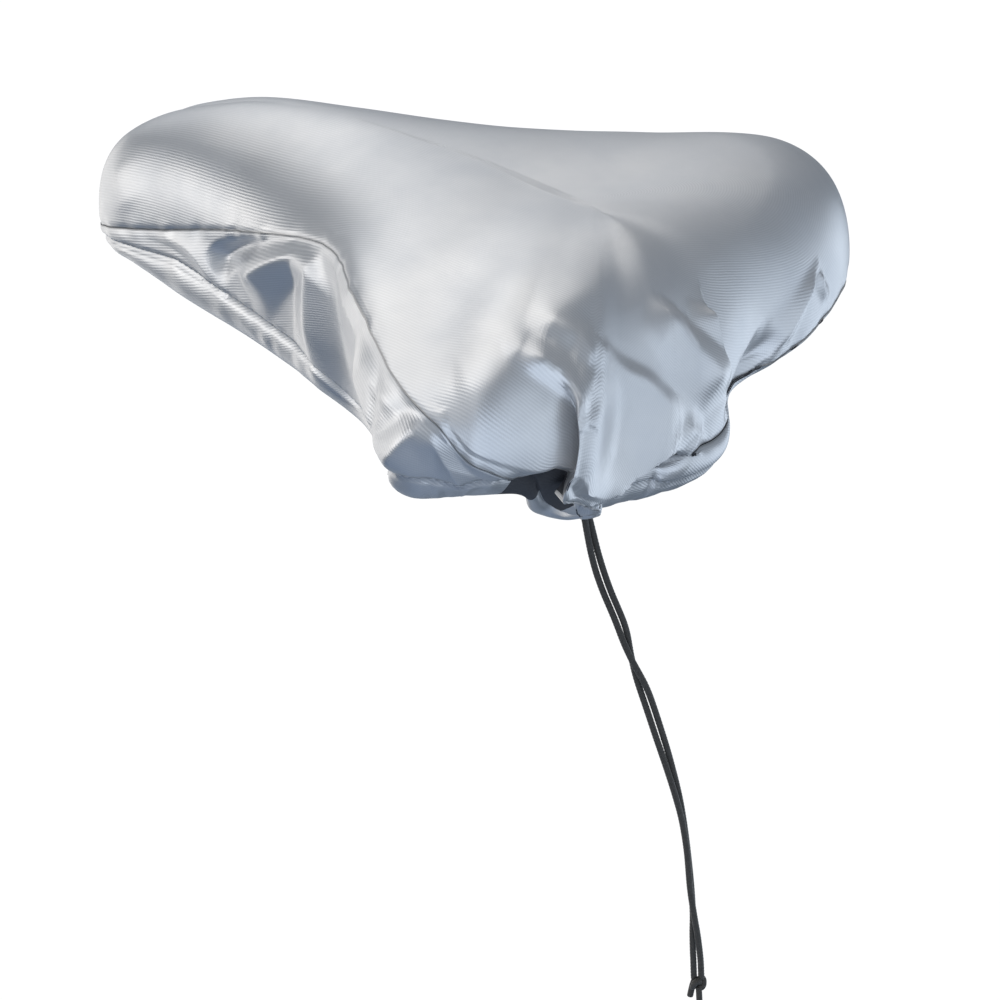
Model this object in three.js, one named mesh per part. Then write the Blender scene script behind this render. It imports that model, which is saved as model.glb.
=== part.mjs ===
// A drawstring rain cover for a bicycle saddle, in millimetres, as it sits pulled over the saddle.
// +X points to the tail, -X to the nose, -Y to the rider's left, +Z up.
// The origin is under the middle of the top, where the cover rests on the saddle.
import * as THREE from "three";
import { mergeVertices } from "three/addons/utils/BufferGeometryUtils.js";

// Driving dimensions
const CLOTH = 1.2; // thickness of the cloth sheet
const SEAM_GAP = 0.8; // between the top panel and the skirt, along the cloth
const CHANNEL = 16; // height of the drawstring channel along the hem
const CHANNEL_SHARE = 0.6; // at most this share of the skirt is channel, where the skirt is short
const CHANNEL_SWELL = 1.2; // how far the channel stands out at the middle of its height
const CHANNEL_TUCK = 2; // how far the hem's edge is drawn in under the channel
const STRAND = 2.2; // diameter of one strand of the drawstring
const STRAND_OFFSET = 1.35; // from the middle of the pair to the middle of a strand
const KNOT_RADIUS = 3.4;
const KNOT_HEIGHT = 9;

// The cover is drawn on meridians, numbered from the middle of the tail round by the left to the nose.
// Each runs from the spine, on the centre line, over the shoulder to the seam, and on to the hem.
// Columns: spine x, crown z, fall of the crown on the way to the shoulder.
const SPINE = [
  [92, -5, 0],
  [90, -5, 0],
  [87, -5, 0],
  [82, -5, 0],
  [74, -4.7, 0],
  [60, -3.6, 0],
  [38, -1, 0],
  [8, 1, 1],
  [-30, 3, 4],
  [-66, 0, 6],
  [-94, -8, 9],
  [-106, -14, 12],
];
// Columns: shoulder x, y, z, seam x, y, z, hem x, y, z, belly of the skirt.
const LEFT = [
  [138, -18, -35, 136, -18, -78, 116, -16, -100, 6],
  [138, -42, -34, 132, -50, -85, 113, -41, -98, 3],
  [140, -63, -34, 134, -63, -70, 98, -46, -100, 1],
  [134, -84, -26, 131, -80, -63, 112, -70, -80, 2],
  [119, -100, -20, 118, -101, -50, 101, -86, -79, 2],
  [90, -88, -23, 94, -107, -34, 80, -93, -80, 0],
  [53, -68, -10, 55, -86, -20, 22, -43, -94, 0],
  [11, -43, -6, 15, -57, -20, -6, -40, -85, 0],
  [-44, -38, -16, -44, -39, -35, -46, -34, -79, 0],
  [-94, -33, -20, -93, -28.5, -50, -90, -28, -74, 0],
  [-132, -22, -24, -130, -21, -60, -124, -18, -71, 1.5],
  [-150, 0, -38, -148, 0, -66, -140, 0, -73, 1],
];
const RIGHT = [
  [137, 12, -39, 134, 12, -79, 115, 8, -101, 7],
  [136, 38, -30, 127, 32, -70, 100, 25, -88, 2],
  [131, 72, -20, 130, 70, -62, 112, 60, -76, 3],
  [119, 110, -3, 118, 108, -51, 102, 92, -70, 4],
  [92, 121, 3, 91, 119, -35, 75, 88, -78, 5],
  [55, 94, -6, 55, 92, -20, 35, 54, -86, 4],
  [15, 60, -8, 15, 58, -20, -5, 34, -89, 3],
  [-45, 42, -13, -44, 40, -35, -45, 28, -83, 3],
  [-94, 33, -22, -93, 31, -50, -88, 24, -77, 2],
  [-132, 22, -32, -130, 21, -60, -122, 17, -73, 2],
];
const ROUND = [...LEFT, ...RIGHT.toReversed()];
const MERIDIANS = ROUND.length;

// The main folds: a crest through three places, each a meridian and a level, which is 0 on the spine,
// 1 on the seam and 2 on the hem. Meridians below 0 count from the tail round by the right.
// Columns: meridian and level of the start, middle and end, height of the ridge (below 0, depth of the
// trough), half width on the left and on the right of the crest, seen from outside along the way.
const FOLDS = [
  // Left flank, the edge where the hem band turns under, and pleats that fan out from the waist
  [9.3, 1.02, 8.65, 1.2, 8.15, 1.7, 1.6, 15, 6],
  [7.7, 1.05, 8.1, 1.17, 8.35, 1.42, -4, 7, 6],
  [7.1, 1.03, 7.55, 1.17, 8.0, 1.46, 6, 18, 9],
  [7.05, 1.03, 7.15, 1.4, 7.0, 1.97, 7, 22, 9],
  [7.0, 1.03, 5.9, 1.13, 5.1, 1.4, 2.5, 24, 9],
  [5.9, 1.13, 5.3, 1.28, 4.98, 1.75, 5, 22, 9],
  [6.4, 1.2, 5.7, 1.35, 5.4, 1.75, -5, 9, 36],
  // Left lobe, the facet below its seam and the peak on its rear face
  [4.6, 1.0, 4.75, 1.25, 4.95, 1.75, 4.5, 13, 9],
  [4.6, 1.02, 4.25, 1.3, 3.9, 1.7, 2.5, 8, 10],
  [3.5, 0.62, 3.85, 0.74, 4.35, 0.86, 2, 12, 14],
  // Rear apron, its rolled left edge, the gap beside it and the crescent under the tail
  [3.55, 0.6, 2.85, 0.66, 2.1, 0.75, 4, 10, 7],
  [2.9, 0.67, 2.2, 0.86, 1.6, 1.25, 6, 18, 8],
  [3.5, 1.2, 2.8, 1.2, 2.2, 1.2, -6, 9, 14],
  [3.6, 0.47, 2.6, 0.53, 2.15, 0.63, 3, 8, 7],
  // Rear apron, the slanting fold and the turned lip with the hollow under it
  [1.6, 0.58, 0.4, 0.75, -0.2, 0.89, 2.4, 8, 24],
  [1.3, 0.99, 0.5, 0.93, -0.15, 0.97, 4, 13, 7],
  [1.1, 1.1, 0.4, 1.1, -0.3, 1.1, -4, 7, 10],
  // Right lobe, the round ridge, the crease beside it, the hollow below and the tip at the corner
  [0.4, 0.48, -0.37, 0.68, -0.85, 0.88, 4, 8, 16],
  [-0.95, 0.56, -0.8, 0.73, -0.9, 0.88, 5, 5, 13],
  [-1.15, 0.92, -1.9, 0.96, -2.5, 0.88, -5, 9, 9],
  [-3.2, 0.81, -2.75, 0.88, -2.4, 0.97, 2.8, 6, 11],
  // Right flank, pleats that fan out from the waist
  [-6.9, 1.02, -6.3, 1.3, -5.7, 1.88, 6, 6, 18],
  [-7.3, 1.0, -7.5, 1.25, -7.6, 1.6, 5, 10, 9],
  [-7.7, 1.01, -8.1, 1.14, -8.5, 1.4, 4, 9, 7],
  [-4.5, 1.0, -4.75, 1.25, -5.2, 1.7, 4, 8, 12],
  [-4.2, 1.0, -4.0, 1.25, -3.8, 1.6, -3, 7, 7],
  // Nose facet
  [9.85, 0.66, 9.6, 0.82, 9.42, 0.94, 1.6, 12, 7],
];

// The drawstring's free pair, from the hem down to the knot.
// Columns: x, y, z of the middle of the pair, and the pair's direction in plan, in degrees from +X.
const CORD_ROUTE = [
  [113.7, -36.6, -97.4, 100],
  [116, -34, -114, 70],
  [119, -32, -126, 45],
  [123, -28.5, -140, 60],
  [126, -26, -153, 130],
  [130, -22.5, -168, 215],
  [134, -19.5, -184, 240],
  [136.5, -17, -196, 265],
  [139, -15, -208, 285],
  [140.5, -13.5, -218, 300],
  [142, -12.5, -230, 305],
  [143.2, -11.5, -245, 300],
  [144.2, -10.6, -257, 320],
  [144.8, -10.2, -265, 350],
  [145.4, -9.6, -275, 380],
  [145.8, -9.3, -281, 390],
];

// Mesh steps
// Columns to each meridian on one side, from the tail to the nose
const SPACING = [9, 9, 9, 9, 10, 11, 11, 10, 8, 7, 6];
const TOP_SHARES = [0, 0.16, 0.32, 0.45, 0.56, 0.65, 0.74, 0.83, 0.92, 1];
const SKIRT_SHARES = [0, 0.18, 0.38, 0.65, 1];
const CHANNEL_SHARES = [0.12, 0.5, 1];
const CREST_STEPS = 8;
const STRAND_SIDES = 8;
const STRAND_STEPS = 45;
const KNOT_SIDES = 12;

// A closed smooth curve through three columns of the table, read at a meridian number.
function roundCurve(pick) {
  const points = ROUND.map((row, i) => new THREE.Vector3(...pick(row, i)));
  const curve = new THREE.CatmullRomCurve3(points, true, "catmullrom", 0.5);
  return (meridian) => curve.getPoint(THREE.MathUtils.euclideanModulo(meridian / MERIDIANS, 1));
}

const spineRow = (i) => SPINE[Math.min(i, MERIDIANS - i)];
const spineAt = roundCurve((row, i) => [spineRow(i)[0], 0, spineRow(i)[1]]);
const crownFallAt = roundCurve((row, i) => [spineRow(i)[2], 0, 0]);
const shoulderAt = roundCurve(([x, y, z]) => [x, y, z]);
const seamAt = roundCurve(([, , , x, y, z]) => [x, y, z]);
const hemAt = roundCurve(([, , , , , , x, y, z]) => [x, y, z]);
const bellyAt = roundCurve((row) => [row[9], 0, 0]);

// The meridian of each column of the cloth, closer where it is more folded.
const COLUMN_MERIDIANS = [...SPACING, ...SPACING.toReversed()].flatMap((count, meridian) =>
  Array.from({ length: count }, (unused, i) => meridian + i / count),
);
const COLUMNS = COLUMN_MERIDIANS.length;

// The smooth form of the cloth's outer face, before its folds.
function smoothCover(meridian, level) {
  const spine = spineAt(meridian);
  const shoulder = shoulderAt(meridian);
  const seam = seamAt(meridian);
  const hem = hemAt(meridian);
  const belly = bellyAt(meridian).x;
  if (level <= 1) {
    const fall = crownFallAt(meridian).x;
    const crown = new THREE.Vector3().lerpVectors(spine, shoulder, 0.6).setZ(spine.z - fall);
    return new THREE.CubicBezierCurve3(spine, crown, shoulder, seam).getPoint(level);
  }
  const out = new THREE.Vector3(shoulder.x - spine.x, shoulder.y - spine.y, 0).normalize();
  const under = new THREE.Vector3().lerpVectors(seam, hem, 0.35).addScaledVector(out, belly * 2);
  const gather = new THREE.Vector3().lerpVectors(seam, hem, 0.75).addScaledVector(out, belly);
  return new THREE.CubicBezierCurve3(seam, under, gather, hem).getPoint(level - 1);
}

// The outward direction of the smooth form, from points a small step to each side.
// Both edges at the seam take the seam's own direction, so they stay parallel.
function outward(meridian, levelHere) {
  if (levelHere === 0) return new THREE.Vector3(0, 0, 1);
  const step = 0.02;
  const level = Math.abs(levelHere - 1) < 2 * step ? 1 : levelHere;
  const across = smoothCover(meridian + step, level).sub(smoothCover(meridian - step, level));
  const below = smoothCover(meridian, Math.min(level + step, 2));
  const above = smoothCover(meridian, Math.max(level - step, 0));
  return across.cross(below.sub(above)).normalize();
}

// Each fold's crest as a run of short lines on the smooth form.
const folds = FOLDS.map(([m0, l0, m1, l1, m2, l2, height, leftWidth, rightWidth]) => {
  const places = [[m0, l0], [m1, l1], [m2, l2]].map(([m, l]) => new THREE.Vector3(m, l, 0));
  const points = new THREE.CatmullRomCurve3(places).getPoints(CREST_STEPS).map((p) => smoothCover(p.x, p.y));
  const lines = points.slice(1).map((point, i) => new THREE.Line3(points[i], point));
  return { lines, height, leftWidth, rightWidth };
});

// How far the folds lift the cloth at a point of the smooth form.
function foldLift(point, normal) {
  let lift = 0;
  for (const { lines, height, leftWidth, rightWidth } of folds) {
    let nearest = Infinity;
    let along = 0;
    let left = false;
    lines.forEach((line, i) => {
      const share = line.closestPointToPointParameter(point, true);
      const offset = point.clone().sub(line.at(share, new THREE.Vector3()));
      if (offset.length() >= nearest) return;
      nearest = offset.length();
      along = (i + share) / lines.length;
      left = normal.clone().cross(line.delta(new THREE.Vector3())).dot(offset) > 0;
    });
    const reach = Math.min(nearest / (left ? leftWidth : rightWidth), 1);
    const taper = Math.sin(Math.PI * along) ** 0.8;
    lift += (height * taper * (1 + Math.cos(Math.PI * reach))) / 2;
  }
  return lift;
}

// The level that lies a distance along the cloth from the seam, towards the spine (-1) or the hem (+1).
function levelFromSeam(meridian, side, distance) {
  const probe = 0.05;
  const run = smoothCover(meridian, 1).distanceTo(smoothCover(meridian, 1 + side * probe));
  return 1 + (side * probe * distance) / run;
}

// The level of the stitch line at the top of the drawstring channel.
function channelTop(meridian) {
  const drop = seamAt(meridian).distanceTo(hemAt(meridian));
  return 2 - Math.min(CHANNEL / drop, CHANNEL_SHARE);
}

// A closed sheet over rows of the cover, with its thickness inside the outer face.
function sheet(rows) {
  const positions = [];
  const index = [];
  for (const inner of [0, 1]) {
    for (const meridian of COLUMN_MERIDIANS) {
      for (const { levelAt, swell, thickness } of rows) {
        const level = levelAt(meridian);
        const point = smoothCover(meridian, level);
        const normal = outward(meridian, level);
        point.addScaledVector(normal, foldLift(point, normal) + swell - inner * thickness);
        positions.push(point.x, point.y, point.z);
      }
    }
  }
  const last = rows.length - 1;
  const at = (inner, i, j) => (inner * COLUMNS + (i % COLUMNS)) * rows.length + j;
  const quad = (a, b, c, d) => index.push(a, c, b, a, d, c);
  const openTop = rows[0].levelAt(0) > 0;
  for (let i = 0; i < COLUMNS; i++) {
    for (let j = 0; j < last; j++) {
      quad(at(0, i, j), at(0, i, j + 1), at(0, i + 1, j + 1), at(0, i + 1, j));
      quad(at(1, i, j), at(1, i + 1, j), at(1, i + 1, j + 1), at(1, i, j + 1));
    }
    quad(at(0, i, last), at(1, i, last), at(1, i + 1, last), at(0, i + 1, last));
    if (openTop) quad(at(0, i, 0), at(0, i + 1, 0), at(1, i + 1, 0), at(1, i, 0));
  }
  const geometry = new THREE.BufferGeometry();
  geometry.setAttribute("position", new THREE.Float32BufferAttribute(positions, 3));
  geometry.setIndex(index);
  return mergeVertices(geometry, 1e-3);
}

function topPanel() {
  const edge = (meridian) => levelFromSeam(meridian, -1, SEAM_GAP / 2);
  const rows = TOP_SHARES.map((share) => ({
    levelAt: (meridian) => share * edge(meridian),
    swell: 0,
    thickness: CLOTH,
  }));
  return sheet(rows);
}

// The skirt, single cloth down to the stitch line and double in the swollen channel below it.
function skirt() {
  const edge = (meridian) => levelFromSeam(meridian, 1, SEAM_GAP / 2);
  const free = SKIRT_SHARES.map((share) => ({
    levelAt: (meridian) => THREE.MathUtils.lerp(edge(meridian), channelTop(meridian), share),
    swell: 0,
    thickness: CLOTH,
  }));
  const channel = CHANNEL_SHARES.map((share) => ({
    levelAt: (meridian) => THREE.MathUtils.lerp(channelTop(meridian), 2, share),
    swell: CHANNEL_SWELL * Math.sin(Math.PI * share) - CHANNEL_TUCK * share ** 2,
    thickness: CLOTH * 2,
  }));
  return sheet([...free, ...channel]);
}

// One strand of the pair, a round tube that winds about the middle of the route.
function strand(side) {
  const middle = new THREE.CatmullRomCurve3(CORD_ROUTE.map(([x, y, z]) => new THREE.Vector3(x, y, z)));
  const wind = new THREE.CatmullRomCurve3(CORD_ROUTE.map((row) => new THREE.Vector3(row[3], 0, 0)));
  const points = Array.from({ length: STRAND_STEPS + 1 }, (unused, i) => {
    const turn = THREE.MathUtils.degToRad(wind.getPoint(i / STRAND_STEPS).x);
    const across = new THREE.Vector3(Math.cos(turn), Math.sin(turn), 0);
    return middle.getPoint(i / STRAND_STEPS).addScaledVector(across, side * STRAND_OFFSET);
  });
  const corners = Array.from({ length: STRAND_SIDES }, (unused, i) => {
    const turn = (2 * Math.PI * i) / STRAND_SIDES;
    return new THREE.Vector2(Math.cos(turn), Math.sin(turn)).multiplyScalar(STRAND / 2);
  });
  return new THREE.ExtrudeGeometry(new THREE.Shape(corners), {
    steps: STRAND_STEPS,
    bevelEnabled: false,
    extrudePath: new THREE.CatmullRomCurve3(points),
  });
}

// The overhand knot that ties both strands, as its rounded outer form with a waist.
function knot() {
  const turns = 12;
  const profile = Array.from({ length: turns + 1 }, (unused, i) => {
    const turn = (Math.PI * i) / turns;
    const waist = 1 - 0.12 * Math.exp(-((i - turns / 2) ** 2));
    return new THREE.Vector2(KNOT_RADIUS * Math.sin(turn) * waist, (-KNOT_HEIGHT / 2) * Math.cos(turn));
  });
  profile[0].x = 0;
  profile[turns].x = 0;
  return new THREE.LatheGeometry(profile, KNOT_SIDES).rotateX(Math.PI / 2);
}

const root = new THREE.Group();
function add(name, geometry, color, roughness, metalness) {
  const material = new THREE.MeshStandardMaterial({ color, roughness, metalness });
  const mesh = new THREE.Mesh(geometry, material);
  mesh.name = name;
  root.add(mesh);
  return mesh;
}

add("top_panel", topPanel(), 0xc3c8ce, 0.4, 0.3);
add("skirt", skirt(), 0xb9c0c9, 0.4, 0.3);
add("cord_strand_left", strand(-1), 0x1f1e1c, 0.75, 0);
add("cord_strand_right", strand(1), 0x1f1e1c, 0.75, 0);
const [endX, endY, endZ] = CORD_ROUTE.at(-1);
const knotGap = 0.5;
add("cord_knot", knot(), 0x1f1e1c, 0.75, 0).position.set(endX, endY, endZ - knotGap - KNOT_HEIGHT / 2);

export default root;
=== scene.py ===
"""Dresses a drawstring saddle cover: silver cloth in its folds, a sewn hem channel and a knotted cord."""
import math

import bmesh
import bpy
import numpy as np
from mathutils import Matrix, Vector


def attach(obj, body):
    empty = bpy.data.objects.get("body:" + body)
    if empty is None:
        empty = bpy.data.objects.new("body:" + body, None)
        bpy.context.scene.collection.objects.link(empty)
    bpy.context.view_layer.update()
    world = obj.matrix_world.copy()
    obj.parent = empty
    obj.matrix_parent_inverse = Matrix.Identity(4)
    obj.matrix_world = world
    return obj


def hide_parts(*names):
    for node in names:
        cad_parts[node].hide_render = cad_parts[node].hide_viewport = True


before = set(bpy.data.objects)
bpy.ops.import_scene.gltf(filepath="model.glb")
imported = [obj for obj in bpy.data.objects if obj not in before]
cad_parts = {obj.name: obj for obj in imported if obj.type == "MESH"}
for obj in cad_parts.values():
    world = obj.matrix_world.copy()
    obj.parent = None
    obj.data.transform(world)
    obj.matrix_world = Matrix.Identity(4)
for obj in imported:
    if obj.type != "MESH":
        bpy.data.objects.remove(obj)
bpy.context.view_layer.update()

bl_info = {
    "name": "Saddle cover",
    "version": (1, 0, 0),
    "blender": (4, 5, 0),
    "location": "3D View > Sidebar > Saddle cover",
    "description": "Dresses a drawstring rain cover for a bicycle saddle",
    "category": "Object",
}

MM = 0.001  # the tables are in millimetres, as they would be cut

# The cover is drawn on meridians, numbered from the middle of the tail round by the left to the nose.
# Each runs from the spine, on the centre line, over the shoulder to the seam, and on to the hem.
# Columns: spine x, crown z, fall of the crown on the way to the shoulder.
SPINE = (
    (92, -5, 0),
    (90, -5, 0),
    (87, -5, 0),
    (82, -5, 0),
    (74, -4.7, 0),
    (60, -3.6, 0),
    (38, -1, 0),
    (8, 1, 1),
    (-30, 3, 4),
    (-66, 0, 6),
    (-94, -8, 9),
    (-106, -14, 12),
)
# Columns: shoulder x, y, z, seam x, y, z, hem x, y, z, belly of the skirt.
LEFT = (
    (138, -18, -35, 136, -18, -78, 116, -16, -100, 6),
    (138, -42, -34, 132, -50, -85, 113, -41, -98, 3),
    (140, -63, -34, 134, -63, -70, 98, -46, -100, 1),
    (134, -84, -26, 131, -80, -63, 112, -70, -80, 2),
    (119, -100, -20, 118, -101, -50, 101, -86, -79, 2),
    (90, -88, -23, 94, -107, -34, 80, -93, -80, 0),
    (53, -68, -10, 55, -86, -20, 22, -43, -94, 0),
    (11, -43, -6, 15, -57, -20, -6, -40, -85, 0),
    (-44, -38, -16, -44, -39, -35, -46, -34, -79, 0),
    (-94, -33, -20, -93, -28.5, -50, -90, -28, -74, 0),
    (-132, -22, -24, -130, -21, -60, -124, -18, -71, 1.5),
    (-150, 0, -38, -148, 0, -66, -140, 0, -73, 1),
)
RIGHT = (
    (137, 12, -39, 134, 12, -79, 115, 8, -101, 7),
    (136, 38, -30, 127, 32, -70, 100, 25, -88, 2),
    (131, 72, -20, 130, 70, -62, 112, 60, -76, 3),
    (119, 110, -3, 118, 108, -51, 102, 92, -70, 4),
    (92, 121, 3, 91, 119, -35, 75, 88, -78, 5),
    (55, 94, -6, 55, 92, -20, 35, 54, -86, 4),
    (15, 60, -8, 15, 58, -20, -5, 34, -89, 3),
    (-45, 42, -13, -44, 40, -35, -45, 28, -83, 3),
    (-94, 33, -22, -93, 31, -50, -88, 24, -77, 2),
    (-132, 22, -32, -130, 21, -60, -122, 17, -73, 2),
)
ROUND = LEFT + RIGHT[::-1]
MERIDIANS = len(ROUND)

# Crests of the sharp folds, which columns of the cloth follow, as places of (meridian, level).
# The level is 0 on the spine, 1 on the seam and 2 on the hem. Meridians below 0 count round by the right.
PLEAT = ((7.0, 1.03), (6.5, 1.09), (5.9, 1.13), (5.42, 1.22), (5.1, 1.4), (4.98, 1.75))
RIM = (
    (2.9, 0.67), (2.48, 0.71), (2.18, 0.78), (2.08, 0.84),
    (2.08, 0.92), (2.1, 1.0), (1.85, 1.11), (1.5, 1.25),
)
RIGHT_CREASE = ((-0.95, 0.56), (-0.85, 0.6), (-0.8, 0.69), (-0.8, 0.78), (-0.9, 0.88))
# The gap under the left lobe, where the outer face of the skirt takes the dark back material as painted
# shade
GAP_EDGE = ((3.35, 1.03), (3.45, 1.5), (3.8, 2.0))  # its left edge
GAP_START = 2.03  # columns of the skirt, counted in meridians, between which the dark back material is painted on as shade
GAP_END = 3.0
GAP_FOOT_END = 2.6  # last column of the foot of the gap, where the painted shade stops and the coated face shows again
GAP_ROW = 3  # first row that carries the painted shade
GAP_FOOT_ROW = 43  # first row of the foot
# Columns: crest, meridian of the column that follows it, meridians on either side that lean with it.
TOP_LEANS = (
    (RIM, 2, 1.6),
    (RIGHT_CREASE, -1, 0.9),
)
SKIRT_LEANS = (
    (RIM, 2, 1.6),
    (GAP_EDGE, 3, 1.3),
    (PLEAT[2:], 5, 2.3),
)

# Folds and creases. Columns: height of the ridge (below 0, depth of the trough), slide of the crest to its
# left, width on the left and on the right of the crest (seen from outside, along the way), roundness of the
# crest, share of the height at the start and at the end, share of the widths at the start, places.
CREASES = (
    # Left flank, the edge where the hem band turns under, and pleats that fan out from the waist
    (1.6, 0, 15, 6, 0.6, 0, 0.2, 0.4, ((9.3, 1.02), (8.95, 1.06), (8.65, 1.2), (8.4, 1.45), (8.15, 1.7))),
    (-4.0, 0, 7, 6, 1.0, 0.2, 0, 0.6, ((7.7, 1.05), (7.95, 1.11), (8.2, 1.24), (8.35, 1.42))),
    (6.0, 0, 18, 9, 0.9, 0.2, 0, 0.3, ((7.1, 1.03), (7.4, 1.1), (7.72, 1.25), (8.0, 1.46))),
    (5.5, 0, 22, 13, 2.0, 0.2, 0.2, 0.6, ((7.05, 1.03), (7.08, 1.2), (7.06, 1.44), (6.95, 1.97))),
    (2.5, -1.0, 24, 2.2, 0.4, 0.1, 0.3, 0.6, PLEAT),
    (6.0, -1.0, 22, 2.2, 0.4, 0, 0.3, 0.8, PLEAT[2:]),
    (-7.0, 0, 2.5, 40, 0.4, 0, 0.5, 0.5, ((6.1, 1.14), (5.58, 1.23), (5.26, 1.4), (5.12, 1.75))),
    (-0.7, 0, 2.5, 2.5, 0.3, 0.2, 0.4, 1, ((5.5, 1.02), (5.35, 1.06), (5.18, 1.24), (5.05, 1.6))),
    (0.9, 0, 7, 6, 0.8, 0.3, 0, 0.6, ((5.05, 1.0), (5.1, 1.07), (5.15, 1.2))),
    # Left lobe, the facet below its seam
    (4.5, 0, 13, 9, 0.5, 0.3, 0.3, 0.5, ((4.6, 1.0), (4.7, 1.16), (4.83, 1.44), (4.95, 1.75))),
    (2.5, 0, 8, 10, 0.4, 0.3, 0, 0.6, ((4.6, 1.02), (4.35, 1.19), (4.08, 1.5), (3.9, 1.7))),
    # Left lobe, the peak of its rear face
    (0.8, 0, 12, 14, 2.0, 0.8, 0, 1, ((3.5, 0.62), (3.65, 0.66), (3.85, 0.74), (4.1, 0.8), (4.35, 0.86))),
    # Left lobe, its slack lower edge
    (0, -5.0, 18, 10, 3.0, 0, 0, 1, ((4.5, 1.0), (4.0, 1.0), (3.5, 1.0), (3.1, 1.0), (2.7, 1.0))),
    # Rear apron, its rolled left edge and the gap beside it under the seam
    (4.0, 0, 10, 5, 0.6, 0.4, 0.3, 1, ((3.55, 0.605), (3.25, 0.63), (2.85, 0.66), (2.4, 0.7), (2.1, 0.75))),
    (5.5, -10.0, 20, 2.2, 0.5, 0, 0.2, 1, RIM),
    (-9.0, 0, 5, 14, 2.0, 0, 0.3, 1, ((3.5, 1.14), (3.0, 1.13), (2.6, 1.12), (2.2, 1.14))),
    # Rear apron, the crescent under the tail
    (3.0, 0, 8, 6, 1.5, 0, 0.4, 1, ((3.6, 0.47), (3.15, 0.49), (2.6, 0.53), (2.25, 0.58), (2.15, 0.63))),
    # Rear apron, the slanting fold and the turned lip
    (2.5, 0, 5, 24, 0.4, 0.4, 0.3, 0.6, ((1.6, 0.58), (0.6, 0.7), (0.2, 0.8), (-0.2, 0.89))),
    (3.0, -6.0, 11, 2.0, 0.5, 0.1, 0.6, 1,
     ((1.3, 0.99), (0.95, 0.93), (0.5, 0.91), (0.1, 0.92), (-0.15, 0.97))),
    (2.0, 0, 4, 6, 0.3, 0.4, 0.2, 1, ((-0.05, 0.9), (-0.35, 0.93), (-0.2, 0.99))),
    (-8.0, 0, 3, 26, 1.0, 0, 0, 1, ((1.1, 1.01), (0.9, 0.98), (0.5, 0.965), (0.1, 0.97), (-0.3, 1.0))),
    # Right lobe, the round ridge, the crease beside it and the tip at the corner
    (4.0, 0, 7, 16, 2.0, 0, 0.3, 0.6,
     ((0.4, 0.48), (-0.1, 0.57), (-0.37, 0.68), (-0.62, 0.79), (-0.85, 0.88))),
    (5.0, 2.0, 2.5, 13, 0.3, 0.2, 0.3, 0.5, RIGHT_CREASE),
    (-5.0, 0, 9, 9, 1.5, 0.3, 0, 0.6, ((-1.15, 0.92), (-1.7, 0.96), (-2.15, 0.95), (-2.5, 0.88))),
    (2.8, 0, 6, 11, 0.3, 0.2, 0.7, 0.2, ((-3.2, 0.81), (-2.75, 0.88), (-2.4, 0.97))),
    (2.0, 0, 4, 4, 0.3, 0.2, 0, 0.4, ((-3.2, 0.83), (-3.17, 0.88), (-3.27, 0.96))),
    # Right flank, pleats that fan out from the waist
    (4.5, 0, 9, 18, 1.5, 0.2, 0.6, 0.5, ((-6.9, 1.02), (-6.5, 1.2), (-6.1, 1.4), (-5.7, 1.88))),
    (5.0, 0, 10, 9, 1.5, 0.4, 0, 0.5, ((-7.3, 1.0), (-7.5, 1.25), (-7.6, 1.6))),
    (4.0, 0, 9, 6, 0.6, 0.4, 0, 0.5, ((-7.7, 1.01), (-8.1, 1.14), (-8.5, 1.4))),
    (-2.0, 0, 4, 5, 0.5, 0.4, 0.3, 1, ((-5.2, 0.95), (-5.3, 1.2), (-5.5, 1.8))),
    (4.0, 0, 8, 12, 0.6, 0.5, 0, 0.5, ((-4.5, 1.0), (-4.75, 1.25), (-5.2, 1.7))),
    (-3.0, 0, 6, 7, 0.8, 0.4, 0, 0.6, ((-4.2, 1.0), (-4.0, 1.25), (-3.8, 1.6))),
    # Nose facet
    (0.5, 0, 16, 12, 1.5, 0, 0, 1, ((9.85, 0.66), (9.6, 0.82), (9.42, 0.94))),
)

# The drawstring's free pair, from the hem down to the knot.
# Columns: x, y, z of the middle of the pair, and the pair's direction in plan, in degrees from +X.
CORD_ROUTE = (
    (113.7, -36.6, -97.4, 100),
    (116, -34, -114, 70),
    (119, -32, -126, 45),
    (123, -28.5, -140, 60),
    (126, -26, -153, 130),
    (130, -22.5, -168, 215),
    (134, -19.5, -184, 240),
    (136.5, -17, -196, 265),
    (139, -15, -208, 285),
    (140.5, -13.5, -218, 300),
    (142, -12.5, -230, 305),
    (143.2, -11.5, -245, 300),
    (144.2, -10.6, -257, 320),
    (144.8, -10.2, -265, 350),
    (145.4, -9.6, -275, 380),
    (145.8, -9.3, -281, 390),
)
STRAND_OFFSET = 1.35  # from the middle of the pair to the middle of a strand
BRAID_RELIEF = 0.09  # how far the plaits stand out of a strand
BRAID_PLAITS = 4  # plaits round a strand each way
BRAID_TURN = 2.4  # radians that a plait turns in a millimetre
KNOT_RADIUS = 1.15  # of the cord in the knot
KNOT_BITE = 2.4  # how far the strands run into the knot
KNOT_DROP = 4.2  # from the end of the pair to the middle of the knot
KNOT_SIZE = 0.72  # a third of the reach of its loops
KNOT_DEPTH = 1.5  # how far its loops rise and fall
KNOT_MOUTH = 0.25  # radians by which the loops stop short of closing
KNOT_END = 9.0  # the knot's longer free end

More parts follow.
